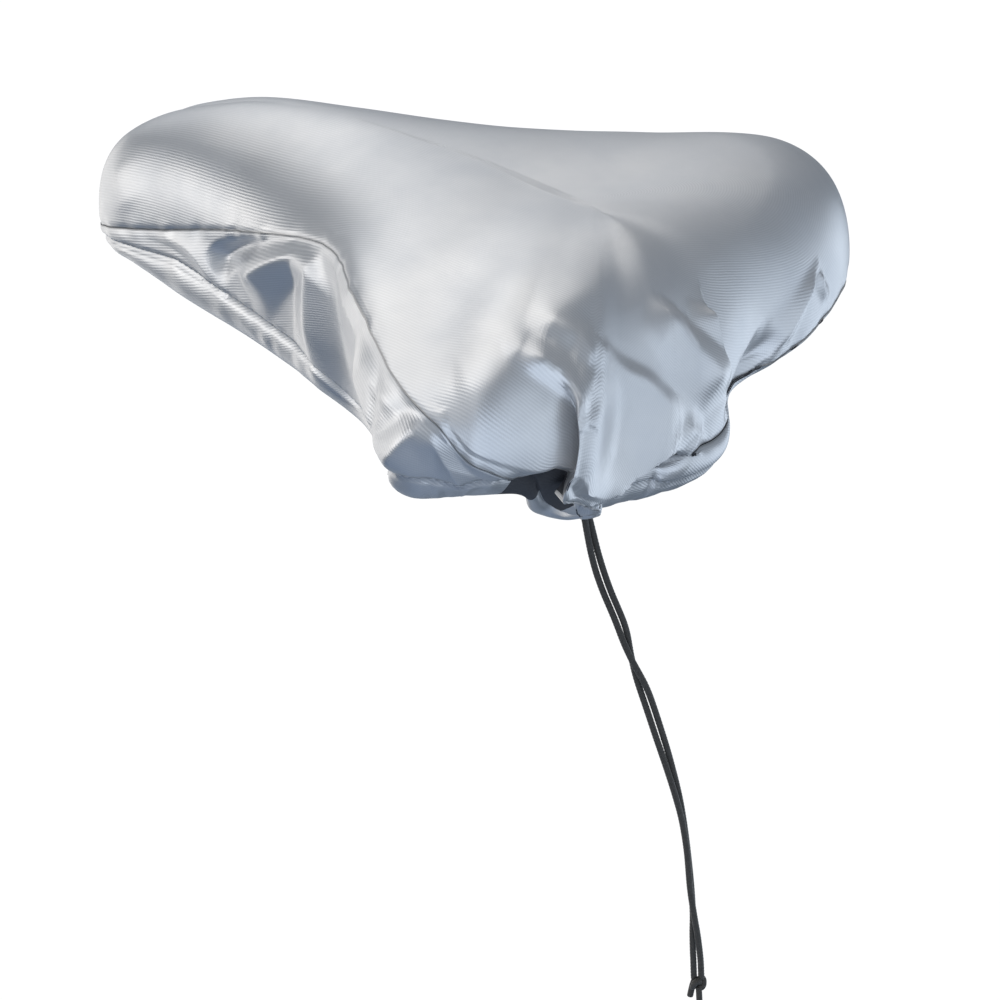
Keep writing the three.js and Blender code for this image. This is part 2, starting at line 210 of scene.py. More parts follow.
# How the cloth lies
CROWN_REACH = 0.6  # share of the way to the shoulder where the crown begins to bend down
FOLD_FOOT = 0.12  # softness of the foot of a fold, as a share of its height
FOLD_FADE = 1.6  # where a fold has died out, as a share of its width
END_FADE = 0.3  # share of a fold's length over which its ends die out
TAUT_START = 4.3  # meridians between which the flanks' seams hold the cloth taut
TAUT_END = 9.35
HOLD_ABOVE = 10  # how far their hold reaches above the seam
HOLD_BELOW = 5  # and below it
PUCKER_HEIGHT = 0.35
PUCKER_REACH = 3.5  # how far puckers reach from the sewing
SEAM_REACH = 1.4  # how far the dip at the seam reaches
STITCH_DIP = 0.9  # depth of the groove that the channel's stitches draw
STITCH_REACH = 1.1
CHANNEL_MOST = 0.6  # largest share of the skirt's height that the channel takes
LAYER_GAP = 0.5  # between the channel's two layers at the stitches
SPINE_ROWS = 26  # rows on either side of the spine over which the taut top is evened out
SPINE_PASSES = 60
UNSEWN = 9.0  # distance from the sewing where none of its shade is left
STITCH_PALER = 0.45  # the channel's stitch line is paler than the seam, as if this far from it
RIM_RUN = 42  # from the middle of the tail round the seam to the apron's rim
BIAS = 0.85  # slope of the ribs across the drawn-in rear
BIAS_LEFT = 2.2  # meridian where the slope begins on the left
BIAS_RIGHT = -7  # and where it has died out on the right
# Slow waves that keep the cloth uneven. Columns: height, waves per metre along x, y, z, turn.
RIPPLES = (
    (0.20, 7, 5, -6, 0.4),
    (0.12, -6, 9, 8, 2.1),
    (0.05, 19, -11, 17, 4.0),
    (0.03, 23, 27, -29, 1.2),
)

# Mesh steps. Columns to each meridian run from the tail by the left to the nose.
# The top's are alike on the right.
TOP_SPACING = (42, 42, 42, 38, 32, 24, 24, 24, 24, 22, 22)
SKIRT_SPACING = (30, 30, 30, 32, 48, 78, 84, 72, 50, 26, 22, 18, 18, 18, 20, 20, 20, 20, 20, 24, 26, 28)
TOP_ROWS = 70
TOP_EVEN = 0.45  # share of even spacing in the top's rows, which otherwise close up to the seam
SKIRT_ROWS = 44
SKIRT_CLOSER = 1.25  # power by which the skirt's rows close up towards the seam
CHANNEL_ROWS = 10
ROLL_ROWS = 7
CREST_STEPS = 24
STRAND_STEPS = 360
STRAND_SIDES = 16
KNOT_STEPS = 90
KNOT_END_STEPS = 12
KNOT_SIDES = 12

# The view of the cover
VIEW_AZIMUTH = math.radians(40)
VIEW_ELEVATION = math.radians(25.5)
VIEW_DISTANCE = 1.3
VIEW_LENS = 133.4
VIEW_RIGHT = 0.0347  # the aim lies to the right of the origin
VIEW_DOWN = 0.1275  # and below it
FLOOR_BELOW = 1.0  # the ground lies this far under the saddle
FLOOR_SIZE = 30.0

# The studio is a dome with soft panels, seen by their reflection in the coating.
# Columns: direction from the cover, half angles of the middle and of the soft edge, brightness, colour.
# A brightness below 0 takes light away.
DOME = "747d88"
PANELS = (
    ((-0.20, 0.02, 0.98), 30, 48, 1.40, "fffaf3"),  # overhead
    ((-0.71, 0.50, 0.50), 8, 32, 0.70, "ffffff"),  # high, ahead of the nose
    ((-0.82, -0.56, -0.11), 9, 25, 2.00, "fffaf3"),  # low, to the left of the nose
    ((-0.93, 0.16, -0.33), 14, 28, 1.30, "fffaf3"),  # floor ahead of the nose
    ((-0.52, -0.83, -0.20), 8, 24, 1.00, "ffffff"),  # level, on the left
    ((0.10, -0.75, 0.65), 22, 44, 0.62, "ffffff"),  # high, on the left
    ((0.28, 0.88, -0.40), 14, 32, 1.60, "dbe6f2"),  # floor behind the tail
    ((0.94, 0.28, -0.05), 18, 38, 1.10, "d9e4f0"),  # level, behind the tail
    ((0.72, -0.60, -0.32), 16, 42, 1.50, "d8e4f3"),  # floor beside the tail
    ((-0.22, -0.30, -0.92), 16, 38, 0.32, "8eaad8"),  # ground under the left flank
    ((-0.50, 0.25, -0.83), 10, 26, 0.22, "c8d4e6"),  # ground under the tail
    ((-0.56, -0.12, -0.82), 10, 28, -0.14, "ffffff"),  # shade under the nose
    ((0.10, 0.50, -0.86), 16, 38, -0.10, "ffffff"),  # shade under the tail
    ((-0.72, -0.32, -0.62), 8, 26, -0.13, "ffffff"),  # shade under the left flank
)

# Finishes of the cloth
CLOTH_NAME = "silver-coated taffeta"
# The back's material is darkened and also laid on outer faces as painted shade.
BACK_AND_SHADE_NAME = "taffeta back, darkened as painted shade"
CLOTH_METAL = 0.68  # how far the coating mirrors like metal
CLOTH_ROUGHNESS = 0.35
LINING_ROUGHNESS = 0.7
# Seams and the channel's stitch line are darkened in the colour, as painted shade with some dirt.
SEAM_SHADE = 0.5  # share of the colour left in the seam
SEAM_SHADE_REACH = 0.9


def linear(code):
    """An sRGB hex colour as linear red, green, blue and alpha."""
    shares = [int(code[i:i + 2], 16) / 255 for i in (0, 2, 4)]
    return [c / 12.92 if c <= 0.04045 else ((c + 0.055) / 1.055) ** 2.4 for c in shares] + [1.0]


class CoverSizes(bpy.types.PropertyGroup):
    """Sizes that a maker would change."""

    cloth: bpy.props.FloatProperty(
        name="Cloth", description="Thickness of the coated cloth", default=0.5 * MM, unit="LENGTH")
    channel: bpy.props.FloatProperty(
        name="Channel", description="Height of the drawstring channel along the hem",
        default=16 * MM, unit="LENGTH")
    swell: bpy.props.FloatProperty(
        name="Swell", description="How far the channel stands out", default=1.2 * MM, unit="LENGTH")
    tuck: bpy.props.FloatProperty(
        name="Tuck", description="How far the hem's edge is drawn in under the channel",
        default=2 * MM, unit="LENGTH")
    seam_dip: bpy.props.FloatProperty(
        name="Seam dip", description="How deep the seam draws the cloth in", default=0.5 * MM, unit="LENGTH")
    stitch: bpy.props.FloatProperty(
        name="Stitch", description="Length of one stitch along the channel", default=2.2 * MM, unit="LENGTH")
    stitch_pitch: bpy.props.FloatProperty(
        name="Stitch pitch", description="From one stitch to the next", default=3.0 * MM, unit="LENGTH")
    thread: bpy.props.FloatProperty(
        name="Thread", description="Thickness of the sewing thread", default=0.35 * MM, unit="LENGTH")
    strand: bpy.props.FloatProperty(
        name="Strand", description="Diameter of one strand of the drawstring",
        default=2.2 * MM, unit="LENGTH")
    rib: bpy.props.FloatProperty(
        name="Rib", description="Pitch of the ribs in the weave", default=1.1 * MM, unit="LENGTH")


class CoverColours(bpy.types.PropertyGroup):
    """Colours that a maker would change."""

    cloth: bpy.props.FloatVectorProperty(
        name="Cloth", description="Silver coating", subtype="COLOR", size=4, default=linear("c9cacc"))
    shade: bpy.props.FloatVectorProperty(
        name="Shade", description="Worn, thinner coating", subtype="COLOR", size=4, default=linear("b9bcc1"))
    # The inside colour is the uncoated back, darkened as painted shade for the hollow interior and the gap.
    inside: bpy.props.FloatVectorProperty(
        name="Inside", description="Uncoated inner face", subtype="COLOR", size=4, default=linear("303238"))
    cord: bpy.props.FloatVectorProperty(
        name="Cord", description="Black braid", subtype="COLOR", size=4, default=linear("1d1c1a"))
    thread: bpy.props.FloatVectorProperty(
        name="Thread", description="Grey sewing thread", subtype="COLOR", size=4, default=linear("a7adb5"))


def smooth_step(share):
    """Eases from 0 to 1."""
    share = np.clip(share, 0, 1)
    return share * share * (3 - 2 * share)


def through(points, where, closed=False):
    """A smooth curve through the points, read at the given positions, one unit for each point."""
    points = np.asarray(points, dtype=float)
    count = len(points)
    if not closed:
        ends = 2 * points[0] - points[1], 2 * points[-1] - points[-2]
        padded = np.vstack([ends[0], points, ends[1]])
        start = np.clip(np.floor(where).astype(int), 0, count - 2)
        before, here, after, beyond = (padded[start + k] for k in range(4))
    else:
        start = np.floor(where).astype(int)
        before, here, after, beyond = (points[(start + k) % count] for k in (-1, 0, 1, 2))
    t = (where - start)[..., None]
    leave = (after - before) / 2
    arrive = (beyond - here) / 2
    rise = after - here
    return here + t * (leave + t * (3 * rise - 2 * leave - arrive + t * (leave + arrive - 2 * rise)))


def spine_table():
    """The spine's rows all round, each side like the other."""
    rows = [SPINE[min(i, MERIDIANS - i)] for i in range(MERIDIANS)]
    return np.array([(x, 0, z, fall) for x, z, fall in rows], dtype=float)


SPINE_ROUND = spine_table()


def bezier(a, b, c, d, t):
    """A point on a cubic curve from a to d."""
    return (1 - t) ** 3 * a + 3 * (1 - t) ** 2 * t * b + 3 * (1 - t) * t * t * c + t ** 3 * d


def smooth_cover(meridian, level):
    """The smooth form of the cloth's outer face, before its folds."""
    row = through(ROUND, meridian, closed=True)
    crown = through(SPINE_ROUND, meridian, closed=True)
    spine, fall = crown[..., :3], crown[..., 3]
    shoulder, seam, hem, belly = row[..., :3], row[..., 3:6], row[..., 6:9], row[..., 9:]
    over = spine + CROWN_REACH * (shoulder - spine)
    over[..., 2] = spine[..., 2] - fall
    out = shoulder - spine
    out[..., 2] = 0
    out /= np.linalg.norm(out, axis=-1, keepdims=True)
    top = bezier(spine, over, shoulder, seam, np.clip(level, 0, 1)[..., None])
    under = seam + 0.35 * (hem - seam) + 2 * belly * out
    gather = seam + 0.75 * (hem - seam) + belly * out
    low = bezier(seam, under, gather, hem, np.clip(level - 1, 0, 1)[..., None])
    return np.where((level <= 1)[..., None], top, low)


def unit(vectors):
    """The vectors at length 1."""
    return vectors / np.maximum(np.linalg.norm(vectors, axis=-1, keepdims=True), 1e-9)


def outward(meridian, level):
    """The outward direction of the smooth form."""
    step = 0.02
    level = np.where(np.abs(level - 1) < 2 * step, 1, level)
    across = smooth_cover(meridian + step, level) - smooth_cover(meridian - step, level)
    below = smooth_cover(meridian, np.minimum(level + step, 2))
    above = smooth_cover(meridian, np.maximum(level - step, 0))
    normal = unit(np.cross(across, below - above))
    return np.where((level < step)[..., None], (0.0, 0.0, 1.0), normal)


def crest_spots(places):
    """Places along the crest of a fold, as rows of meridian and level."""
    return through(places, np.linspace(0, len(places) - 1, CREST_STEPS + 1))


def crease_profile(distance, width, crest):
    """Height share across a fold: a straight slope with a rounded crest and a soft foot."""
    slope = 1 - (np.sqrt(distance ** 2 + crest ** 2) - crest) / width
    height = (slope + np.sqrt(slope ** 2 + FOLD_FOOT ** 2)) / 2
    fade = smooth_step((FOLD_FADE - distance / width) / (FOLD_FADE - 1))
    return height * fade


def fold_shift(point, normal):
    """How the folds and creases move points of the smooth form."""
    shift = np.zeros_like(point)
    for height, slide, left_width, right_width, crest, start, end, fan, places in CREASES:
        line = smooth_cover(*crest_spots(places).T)
        reach = FOLD_FADE * max(left_width, right_width)
        near = np.all((point > line.min(0) - reach) & (point < line.max(0) + reach), axis=-1)
        if not near.any():
            continue
        spot, facing = point[near], normal[near]
        nearest = np.full(len(spot), np.inf)
        along = np.zeros(len(spot))
        aside = np.zeros_like(spot)
        for i in range(CREST_STEPS):
            run = line[i + 1] - line[i]
            share = np.clip((spot - line[i]) @ run / (run @ run), 0, 1)
            offset = spot - line[i] - share[:, None] * run
            distance = np.linalg.norm(offset, axis=1)
            closer = distance < nearest
            nearest[closer] = distance[closer]
            along[closer] = (i + share[closer]) / CREST_STEPS
            aside[closer] = np.cross(facing[closer], run)
        aside = unit(aside)
        on_left = row_dot(spot - crest_at(line, along), aside) > 0
        width = np.where(on_left, left_width, right_width) * (fan + (1 - fan) * along)
        share = crease_profile(nearest, width, crest)
        share *= start + (1 - start) * smooth_step(along / END_FADE)
        share *= end + (1 - end) * smooth_step((1 - along) / END_FADE)
        shift[near] += share[:, None] * (height * facing + slide * aside)
    return shift


def row_dot(a, b):
    """The dot product of each pair of rows."""
    return np.einsum("ij,ij->i", a, b)


def crest_at(line, along):
    """Points of the crest at shares of its way."""
    place = along * CREST_STEPS
    start = np.minimum(place.astype(int), CREST_STEPS - 1)
    return line[start] + (place - start)[:, None] * (line[start + 1] - line[start])


def ripple(point):
    """Slow, uneven waves of the cloth, in millimetres."""
    total = np.zeros(point.shape[:-1])
    for height, x, y, z, turn in RIPPLES:
        phase = (point @ np.array((x, y, z), dtype=float)) * MM * 2 * math.pi
        total += height * np.sin(phase + turn)
    return total


def pucker(run, distance):
    """Small puckers beside a line of sewing, from the run along it and the distance from it."""
    waves = np.sin(run / 2.3 + 1.7 * np.sin(run / 17)) * np.sin(run / 7.1 + 0.8) ** 2
    return PUCKER_HEIGHT * waves * np.exp(-(distance / PUCKER_REACH) ** 2)


def both_ways(meridian):
    """Meridians counted both ways from the middle of the tail, below 0 on the right."""
    return (meridian + MERIDIANS / 2) % MERIDIANS - MERIDIANS / 2


def seam_hold(meridian, level):
    """Share of the folds left beside the flanks' seams, which hold the cloth taut."""
    place = np.abs(both_ways(meridian))
    taut = smooth_step((place - TAUT_START) / 0.5) * smooth_step((TAUT_END - place) / 0.4)
    below = (level - 1) * hem_run(meridian)
    return 1 - taut * np.exp(-(below / np.where(below > 0, HOLD_BELOW, HOLD_ABOVE)) ** 2)


def draped(meridian, level):
    """Points and outward directions of the cloth with its folds."""
    point = smooth_cover(meridian, level)
    normal = outward(meridian, level)
    shift = fold_shift(point, normal) * seam_hold(meridian, level)[..., None]
    point = point + shift + ripple(point)[..., None] * normal
    return point, normal


def grid_normals(grid):
    """Outward directions of a finished grid, columns by rows, closed round its columns."""
    across = np.roll(grid, -1, 0) - np.roll(grid, 1, 0)
    along = np.gradient(grid, axis=1)
    return unit(np.cross(across, along))


def run_of(grid, axis):
    """Distance run along an axis of the grid, from 0."""
    step = np.linalg.norm(np.diff(grid, axis=axis), axis=-1)
    return np.concatenate([np.zeros_like(np.take(step, [0], axis)), np.cumsum(step, axis)], axis)


def link(name, data):
    """A new object for a mesh or a camera, at the origin."""
    thing = bpy.data.objects.new(name, data)
    bpy.context.scene.collection.objects.link(thing)
    return thing


def unwrap(mesh, name, spots):
    """Gives the mesh a UV map from the place of each point in it."""
    layer = mesh.uv_layers.new(name=name)
    corner = np.zeros(len(mesh.loops), dtype=np.int32)
    mesh.loops.foreach_get("vertex_index", corner)
    layer.data.foreach_set("uv", spots[corner].ravel().astype(np.float32))


def cloth_mesh(name, grid, normals, thickness, weave, sewn, spine_closed, painted_shade_mask):
    """A closed sheet from a grid of its outer face, with a UV map in metres along the weave.

    The sewn attribute is each point's distance from a line of sewing, in millimetres.
    Where the mask is set for a point, the outer face takes the dark back material as painted shade.
    """
    columns, rows = grid.shape[:2]
    index = np.arange(columns * rows).reshape(columns, rows)
    if spine_closed:
        other = (-np.arange(columns)) % columns
        index[:, 0] = np.minimum(index[:, 0], index[other, 0])
    inner = index + columns * rows
    right = np.roll(index, -1, 0)
    inner_right = np.roll(inner, -1, 0)
    outer_faces = np.stack([index[:, :-1], index[:, 1:], right[:, 1:], right[:, :-1]], -1)
    inner_faces = np.stack([inner[:, :-1], inner_right[:, :-1], inner_right[:, 1:], inner[:, 1:]], -1)
    rim = [np.stack([index[:, -1], inner[:, -1], inner_right[:, -1], right[:, -1]], -1)]
    if not spine_closed:
        rim.append(np.stack([index[:, 0], right[:, 0], inner_right[:, 0], inner[:, 0]], -1))
    faces = np.concatenate([outer_faces.reshape(-1, 4), inner_faces.reshape(-1, 4)] + rim)
    points = np.concatenate([grid.reshape(-1, 3), (grid - thickness * normals).reshape(-1, 3)]) * MM
    mesh = bpy.data.meshes.new(name)
    mesh.from_pydata(points.tolist(), [], [list(dict.fromkeys(face)) for face in faces.tolist()])
    used = np.zeros(len(points), dtype=bool)
    used[faces.ravel()] = True
    unwrap(mesh, "weave", np.concatenate([weave.reshape(-1, 2)] * 2) * MM)
    distance = mesh.attributes.new("sewn", "FLOAT", "POINT")
    distance.data.foreach_set("value", np.concatenate([sewn.ravel()] * 2).astype(np.float32))
    outer_count = columns * (rows - 1)
    back_and_painted_shade = np.zeros(len(mesh.polygons), dtype=np.int32)
    # Outer faces under the mask take the dark back material as painted shade; the inner faces are the
    # cloth's real back.
    back_and_painted_shade[:outer_count] = painted_shade_mask[:, 1:].ravel()
    back_and_painted_shade[outer_count:2 * outer_count] = 1
    mesh.polygons.foreach_set("material_index", back_and_painted_shade)
    mesh.shade_smooth()
    mesh.set_sharp_from_angle(angle=math.radians(60))
    drop_loose(mesh, used)
    mesh.validate()
    return link(name, mesh)


def drop_loose(mesh, used):
    """Takes out the points that no face uses."""
    shape = bmesh.new()
    shape.from_mesh(mesh)
    shape.verts.ensure_lookup_table()
    loose = [shape.verts[i] for i in np.flatnonzero(~used)]
    bmesh.ops.delete(shape, geom=loose, context="VERTS")
    shape.to_mesh(mesh)
    shape.free()


def meridians_round(spacing):
    """The meridian of each column of a sheet, closer where it is more folded."""
    counts = np.concatenate([[0], np.cumsum(spacing)])
    return np.interp(np.arange(counts[-1]), counts, np.arange(len(counts)))


def leaned(meridian, level, leans):
    """Meridians moved sideways, so that one column follows the crest of each sharp fold."""
    place = both_ways(meridian)
    moved = place.copy()
    for places, column, reach in leans:
        spots = crest_spots(places)
        aside = np.interp(level, spots[:, 1], spots[:, 0]) - column
        moved += aside * smooth_step(1 - np.abs(place - column) / reach) * smooth_step((level - 0.3) / 0.25)
    return moved % MERIDIANS


def weave_of(meridian, level, moved):
    """Weave coordinates from the smooth form: ribs lie level, and on the bias across the drawn-in rear."""
    rest = smooth_cover(meridian, level)
    seam = smooth_cover(meridian[:, 0], np.ones(len(meridian)))
    ends = np.append(meridian[:, 0], MERIDIANS)
    round_seam = run_of(np.vstack([seam, seam[:1]]), 0)
    around = np.interp(moved, ends, round_seam)
    down = run_of(rest, 1)
    for row in range(level.shape[1]):
        down[:, row] = np.interp(moved[:, row], ends, np.append(down[:, row], down[0, row]))
    place = both_ways(moved)
    bias = BIAS * smooth_step((BIAS_LEFT - place) / 0.6) * smooth_step((place - BIAS_RIGHT) / 4)
    near = np.where(around > around.max() / 2, around - around.max(), around)
    return np.stack([around, down + bias * (near - RIM_RUN)], -1)


def even_spine(point, mirrored):
    """Rounds the top over across the spine, where its two halves meet."""
    across = np.concatenate([point[mirrored, SPINE_ROWS:0:-1, 2], point[:, :SPINE_ROWS + 1, 2]], 1)
    for _ in range(SPINE_PASSES):
        across[:, 1:-1] = (across[:, :-2] + 2 * across[:, 1:-1] + across[:, 2:]) / 4
    point[:, :SPINE_ROWS + 1, 2] = across[:, SPINE_ROWS:]


def top_panel_grid(sizes):
    """The top panel's outer face: the crown, then finer rows over the shoulder to the seam."""
    shares = np.linspace(0, 1, TOP_ROWS)
    shares = TOP_EVEN * shares + (1 - TOP_EVEN) * np.sin(shares * math.pi / 2)
    meridian, level = np.meshgrid(meridians_round(TOP_SPACING + TOP_SPACING[::-1]), shares, indexing="ij")
    moved = leaned(meridian, level, TOP_LEANS)
    point, normal = draped(moved, level)
    mirrored = (-np.arange(len(point))) % len(point)
    point[:, 0] = (point[:, 0] + point[mirrored, 0]) / 2
    even_spine(point, mirrored)
    down = run_of(point, 1)
    to_seam = down[:, -1:] - down
    around = run_of(point[:, -1:], 0)
    dip = sizes.seam_dip / MM * np.exp(-(to_seam / SEAM_REACH) ** 2)
    point += (pucker(around, to_seam) - dip)[..., None] * normal
    return point, weave_of(meridian, level, moved), to_seam


def hem_run(meridian):
    """Length of the skirt from the seam to the hem."""
    row = through(ROUND, meridian, closed=True)
    return np.linalg.norm(row[..., 6:9] - row[..., 3:6], axis=-1)


def turned_hem(point, normal, tube, swell):
    """Rows of the skirt that roll round the hem and run up inside the channel."""
    tip_down = unit(point[:, -1] - point[:, -2])
    tip_out = normal[:, -1]
    rows = []
    for turn in np.linspace(0, math.pi, ROLL_ROWS + 1)[1:]:
        rows.append(point[:, -1] + swell * (math.sin(turn) * tip_down - (1 - math.cos(turn)) * tip_out))
    for row in range(CHANNEL_ROWS - 1, -1, -2):
        at = SKIRT_ROWS + row
        depth = tube[at] + LAYER_GAP + (2 * swell - LAYER_GAP) * (row / CHANNEL_ROWS) ** 2
        rows.append(point[:, at] - depth * normal[:, at])
    return np.stack(rows, 1)


def skirt_grid(sizes):
    """The skirt's outer face down to the stitch line, round the swollen channel and up inside it."""
    around = meridians_round(SKIRT_SPACING)
    swell = sizes.swell / MM
    stitch_level = 2 - np.minimum(sizes.channel / MM / hem_run(around), CHANNEL_MOST)
    free = np.linspace(0, 1, SKIRT_ROWS)[None] ** SKIRT_CLOSER * (stitch_level - 1)[:, None] + 1
    turned = np.linspace(0, 1, CHANNEL_ROWS + 1)[1:]
    low = stitch_level[:, None] + turned[None] * (2 - stitch_level)[:, None]
    level = np.concatenate([free, low], 1)
    meridian = np.broadcast_to(around[:, None], level.shape)
    moved = leaned(meridian, level, SKIRT_LEANS)
    point, normal = draped(moved, level)
    seam_run = run_of(point[:, :1], 0)
    down = (level - 1) * hem_run(moved)
    dip = 0.3 * sizes.seam_dip / MM * np.exp(-(down / SEAM_REACH) ** 2)
    to_stitch = np.abs(down - down[:, SKIRT_ROWS - 1:SKIRT_ROWS])
    dip += STITCH_DIP * np.exp(-(to_stitch / STITCH_REACH) ** 2)
    dip -= 0.5 * pucker(seam_run * 0.9 + 40, to_stitch)
    tube = np.concatenate([np.zeros(SKIRT_ROWS), swell * np.abs(np.sin(turned * math.pi)) ** 0.8])
    tuck = np.concatenate([np.zeros(SKIRT_ROWS), sizes.tuck / MM * turned ** 2])
    gathers = 1 + 0.18 * np.sin(seam_run / 3.1 + 2 * np.sin(seam_run / 23)) * np.sin(seam_run / 11.0) ** 2
    point += (pucker(seam_run, down) + tube[None] * gathers - tuck[None] - dip)[..., None] * normal
    grid = np.concatenate([point, turned_hem(point, normal, tube, swell)], 1)
    outer_rows = level.shape[1]
    weave = weave_of(meridian, level, moved)
    turned_under = run_of(grid[:, outer_rows - 1:], 1)[:, 1:]
    hem_weave = weave[:, -1:] + np.stack([np.zeros_like(turned_under), turned_under], -1)
    # Painted shade: the dark back material laid on the gap under the left lobe, and on the hem's roll from
    # its middle and up inside the channel.
    painted_shade_mask = np.zeros(grid.shape[:2], dtype=bool)
    painted_shade_mask[(around >= GAP_START) & (around < GAP_END), GAP_ROW:] = True
    painted_shade_mask[(around >= GAP_START) & (around < GAP_FOOT_END), GAP_FOOT_ROW:] = False
    painted_shade_mask[:, outer_rows + ROLL_ROWS // 2:] = True
    sewn = np.full(grid.shape[:2], UNSEWN)
    sewn[:, :outer_rows] = np.minimum(down, to_stitch + STITCH_PALER)
    return grid, np.concatenate([weave, hem_weave], 1), sewn, painted_shade_mask


# Materials


def add(tree, kind, inputs=None, **settings):
    """Adds a node with its settings, and links or sets its inputs."""
    node = tree.nodes.new(kind)
    for name, value in settings.items():
        setattr(node, name, value)
    for name, value in (inputs or {}).items():
        if isinstance(value, bpy.types.NodeSocket):
            tree.links.new(value, node.inputs[name])
        else:
            node.inputs[name].default_value = value
    return node


def new_material(name):
    """A new material and its empty node tree."""
    material = bpy.data.materials.new(name)
    material.use_nodes = True
    tree = material.node_tree
    tree.nodes.clear()
    return material, tree


def remap(tree, value, given, wanted, **settings):
    """A value moved from one range to another."""
    return add(tree, "ShaderNodeMapRange", {
        "Value": value, "From Min": given[0], "From Max": given[1], "To Min": wanted[0], "To Max": wanted[1],
    }, **settings).outputs["Result"]


def mix(tree, share, under, over, blend="MIX"):
    """One colour laid over another."""
    return add(tree, "ShaderNodeMix", {0: share, 6: under, 7: over},
               data_type="RGBA", blend_type=blend).outputs[2]


def noise(tree, vector, scale, detail):
    """A cloudy value from 0 to 1."""
    return add(tree, "ShaderNodeTexNoise", {
        "Vector": vector, "Scale": scale, "Detail": detail}).outputs["Fac"]


def show(tree, inputs):
    """Ends a material's tree with its surface."""
    surface = add(tree, "ShaderNodeBsdfPrincipled", inputs).outputs[0]
    add(tree, "ShaderNodeOutputMaterial", {"Surface": surface})


def coated_taffeta(sizes, name, colour, shade, metallic, roughness):
    """Polyester taffeta with an aluminium-filled coating: a soft metal sheen broken by fine ribs."""
    material, tree = new_material(name)
    # The ribs are drawn coarser than real ones, of about 0.3 mm, so that they show.
    rib_scale = math.pi / (10 * sizes.rib)
    weave = add(tree, "ShaderNodeUVMap", uv_map="weave").outputs["UV"]
    ribs = add(tree, "ShaderNodeTexWave", {
        "Vector": weave, "Scale": rib_scale, "Distortion": 1.2, "Detail": 3.0, "Detail Scale": 0.5,
    }, wave_type="BANDS", bands_direction="Y", wave_profile="SIN").outputs["Fac"]
    threads = add(tree, "ShaderNodeTexWave", {
        "Vector": weave, "Scale": rib_scale * 1.6, "Distortion": 0.4, "Detail": 1.0,
    }, wave_type="BANDS", bands_direction="X", wave_profile="SIN").outputs["Fac"]
    place = add(tree, "ShaderNodeTexCoord").outputs["Object"]
    patches = noise(tree, place, 38.0, 4.0)
    grain = noise(tree, weave, 1400.0, 2.0)
    worn = remap(tree, patches, (0.35, 0.7), (0.0, 0.6))
    tint = mix(tree, worn, colour, shade)
    lines = remap(tree, ribs, (0.0, 1.0), (0.95, 1.03))
    # Darkening along the seams and the stitch line: painted shade with some dirt.
    sewn = add(tree, "ShaderNodeAttribute", attribute_name="sewn").outputs["Fac"]
    crease = remap(tree, sewn, (0.0, SEAM_SHADE_REACH), (SEAM_SHADE, 1.0))
    tone = add(tree, "ShaderNodeMath", {0: lines, 1: crease}, operation="MULTIPLY").outputs[0]
    lined = mix(tree, 1.0, tint, tone, "MULTIPLY")
    weaving = add(tree, "ShaderNodeMath", {
        0: threads, 1: 0.35, 2: ribs}, operation="MULTIPLY_ADD").outputs[0]
    relief = add(tree, "ShaderNodeMath", {0: grain, 1: 0.3, 2: weaving}, operation="MULTIPLY_ADD").outputs[0]
    bump = add(tree, "ShaderNodeBump", {
        "Height": relief, "Strength": 0.28, "Distance": 0.12 * MM}).outputs["Normal"]
    rough = remap(tree, patches, (0.3, 0.7), (roughness - 0.04, roughness + 0.05))
    show(tree, {"Base Color": lined, "Roughness": rough, "Metallic": metallic, "Normal": bump})
    return material


def braided_cord(colours):
    """Spun polyester braid: near black, matt, with a slight sheen on the crossing strands."""
    material, tree = new_material("black polyester braid")
    weave = add(tree, "ShaderNodeUVMap", uv_map="braid").outputs["UV"]
    strands = add(tree, "ShaderNodeTexVoronoi", {
        "Vector": weave, "Scale": 1 / (0.9 * MM), "Randomness": 0.5}).outputs["Distance"]
    fuzz = noise(tree, weave, 2600.0, 3.0)
    lift = mix(tree, strands, linear("3a3835"), colours.cord)
    relief = add(tree, "ShaderNodeMath", {0: fuzz, 1: 0.4, 2: strands}, operation="MULTIPLY_ADD").outputs[0]
    bump = add(tree, "ShaderNodeBump", {
        "Height": relief, "Strength": 0.6, "Distance": 0.2 * MM}).outputs["Normal"]
    show(tree, {"Base Color": lift, "Roughness": 0.72, "Sheen Weight": 0.15, "Normal": bump})
    return material


def sewing_thread(colours):
    """Twisted polyester thread: plain grey with a soft sheen."""
    material, tree = new_material("grey polyester thread")
    place = add(tree, "ShaderNodeTexCoord").outputs["Object"]
    twist = noise(tree, place, 3000.0, 2.0)
    bump = add(tree, "ShaderNodeBump", {
        "Height": twist, "Strength": 0.4, "Distance": 0.1 * MM}).outputs["Normal"]
    show(tree, {"Base Color": colours.thread, "Roughness": 0.5, "Normal": bump})
    return material


def pale_floor():
    """Matt studio floor that glows evenly, so that the ground stays plain white."""
    material, tree = new_material("white studio floor")
    show(tree, {"Base Color": linear("303236"), "Roughness": 0.9,
                "Emission Color": linear("ffffff"), "Emission Strength": 0.98})
    return material


def dress_cloth(piece, sizes, colours):
    """Gives a sheet its coated face and its plain back, the back darkened as painted shade."""
    finishes = (
        (CLOTH_NAME, colours.cloth, colours.shade, CLOTH_METAL, CLOTH_ROUGHNESS),
        (BACK_AND_SHADE_NAME, colours.inside, colours.inside, 0.0, LINING_ROUGHNESS),
    )
    for name, *finish in finishes:
        material = bpy.data.materials.get(name) or coated_taffeta(sizes, name, *finish)
        piece.data.materials.append(material)


# The cord


